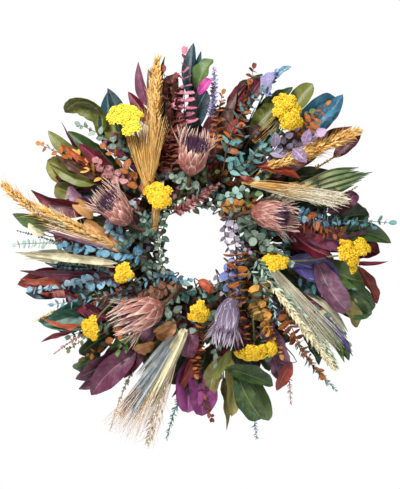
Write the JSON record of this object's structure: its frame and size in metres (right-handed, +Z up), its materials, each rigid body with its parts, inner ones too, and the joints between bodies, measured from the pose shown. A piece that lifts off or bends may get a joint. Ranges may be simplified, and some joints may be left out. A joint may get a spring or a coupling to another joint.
{
  "type": "door wreath",
  "caption": "Round dried-flower door wreath: stems, leaves and flower heads fanned out on a twisted vine ring with a hinged wire hanger loop.",
  "frame": {"origin": "inside of the top of the hanger loop, where a door hook carries the wreath", "axes": "+Z up, -Y the decorated front, +Y the back that faces the door, +X to the right as the front is looked at"},
  "size_m": [0.5856, 0.1528, 0.6087],
  "materials": {
    "grapevine_bark": "dry peeling vine bark, matt",
    "florist_wire": "brown enamelled florist wire, satin",
    "galvanised_wire": "drawn galvanised wire, satin",
    "leaf_teal": "preserved leaf, glycerined, leathery satin with raised veins",
    "leaf_green": "preserved leaf, glycerined, leathery satin with raised veins",
    "leaf_burgundy": "preserved leaf, glycerined, leathery satin with raised veins",
    "leaf_olive": "preserved leaf, glycerined, leathery satin with raised veins",
    "leaf_sage": "preserved leaf, glycerined, leathery satin with raised veins",
    "leaf_yellow": "preserved leaf, glycerined, leathery satin with raised veins",
    "leaf_plum": "preserved leaf, glycerined, leathery satin with raised veins",
    "leaf_rust": "preserved leaf, glycerined, leathery satin with raised veins",
    "leaf_maroon": "preserved leaf, glycerined, leathery satin with raised veins",
    "leaf_purple": "preserved leaf, glycerined, leathery satin with raised veins",
    "leaf_tan": "preserved leaf, glycerined, leathery satin with raised veins",
    "leaf_mauve": "preserved leaf, glycerined, leathery satin with raised veins",
    "leaf_violet": "preserved leaf, glycerined, leathery satin with raised veins",
    "leaf_red": "preserved leaf, glycerined, leathery satin with raised veins",
    "leaf_blue": "preserved leaf, glycerined, leathery satin with raised veins",
    "plume_gold": "dried grass head, straw-dry and matt",
    "grass_gold": "dried grass head, straw-dry and matt",
    "plume_mint": "dried grass head, straw-dry and matt",
    "straw": "dried straw, faintly glossy along the stalks",
    "wheat_cream": "bleached dried ears, matt",
    "awns_peach": "dyed dried awns, silky along their length",
    "palm_green": "pleated dried palm, matt with fibrous ribs",
    "palm_bleached": "pleated dried palm, matt with fibrous ribs",
    "palm_cream": "pleated dried palm, matt with fibrous ribs",
    "sprig_pink": "dyed preserved sprig leaves, matt with a waxy bloom",
    "sprig_rust": "dyed preserved sprig leaves, matt with a waxy bloom",
    "sprig_lilac": "dyed preserved sprig leaves, matt with a waxy bloom",
    "sprig_blue": "dyed preserved sprig leaves, matt with a waxy bloom",
    "sprig_orange": "dyed preserved sprig leaves, matt with a waxy bloom",
    "sprig_pale_blue": "dyed preserved sprig leaves, matt with a waxy bloom",
    "protea_pink_bracts": "dried flower bracts, silky matt with a dark fluffy crown",
    "protea_grey_bracts": "dried flower bracts, silky matt with a dark fluffy crown",
    "yarrow_lemon": "dried corymb of tiny florets, powdery matt",
    "yarrow_gold": "dried corymb of tiny florets, powdery matt"
  },
  "bodies": {
    "wreath": {"vine_strand_1": "grapevine_bark", "vine_strand_2": "grapevine_bark", "vine_strand_3": "grapevine_bark", "vine_strand_4": "grapevine_bark", "wire_tie_1": "florist_wire", "wire_tie_2": "florist_wire", "wire_tie_3": "florist_wire", "hanger_tie": "galvanised_wire", "leaf_teal_top": "leaf_teal", "leaf_green_top": "leaf_green", "leaf_burgundy_top_left": "leaf_burgundy", "leaf_teal_upper_left": "leaf_teal", "leaf_olive_upper_left": "leaf_olive", "leaf_burgundy_upper_left": "leaf_burgundy", "leaf_sage_upper_left": "leaf_sage", "leaf_yellow_left": "leaf_yellow", "leaf_plum_left": "leaf_plum", "leaf_rust_left": "leaf_rust", "leaf_teal_lower_left": "leaf_teal", "leaf_maroon_lower_left": "leaf_maroon", "leaf_purple_bottom": "leaf_purple", "leaf_tan_bottom": "leaf_tan", "leaf_green_bottom": "leaf_green", "leaf_mauve_lower_right": "leaf_mauve", "leaf_sage_right": "leaf_sage", "leaf_burgundy_right": "leaf_burgundy", "leaf_violet_right": "leaf_violet", "leaf_green_right": "leaf_green", "leaf_red_upper_right": "leaf_red", "leaf_blue_upper_right": "leaf_blue", "leaf_olive_upper_right": "leaf_olive", "plume_gold_left": "plume_gold", "grass_gold_top": "grass_gold", "plume_gold_right": "plume_gold", "plume_mint_lower_right": "plume_mint", "spear_straw_right": "straw", "wheat_cream_bottom": "wheat_cream", "awns_peach_bottom": "awns_peach", "palm_green_right": "palm_green", "palm_bleached_lower_right": "palm_bleached", "palm_cream_left": "palm_cream", "sprig_pink_top": "sprig_pink", "sprig_rust_top": "sprig_rust", "sprig_lilac_right": "sprig_lilac", "sprig_blue_right": "sprig_blue", "sprig_orange_bottom": "sprig_orange", "sprig_pale_blue_left": "sprig_pale_blue", "protea_top": "protea_pink_bracts", "protea_left": "protea_pink_bracts", "protea_right": "protea_pink_bracts", "protea_lower_left": "protea_pink_bracts", "protea_bottom": "protea_grey_bracts", "yarrow_upper_left": "yarrow_lemon", "yarrow_upper_right": "yarrow_gold", "yarrow_inner_left": "yarrow_gold", "yarrow_inner_right": "yarrow_gold", "yarrow_right": "yarrow_gold", "yarrow_bottom": "yarrow_gold", "yarrow_lower_left": "yarrow_gold"},
    "hanger": {"hanger_loop": "galvanised_wire"}
  },
  "joints": [
    {"name": "hanger_hinge", "type": "hinge", "parent": "wreath", "child": "hanger", "pos_m": [0, 0, -0.0367], "axis": [-1, 0, 0], "range_deg": [0, 170]}
  ]
}
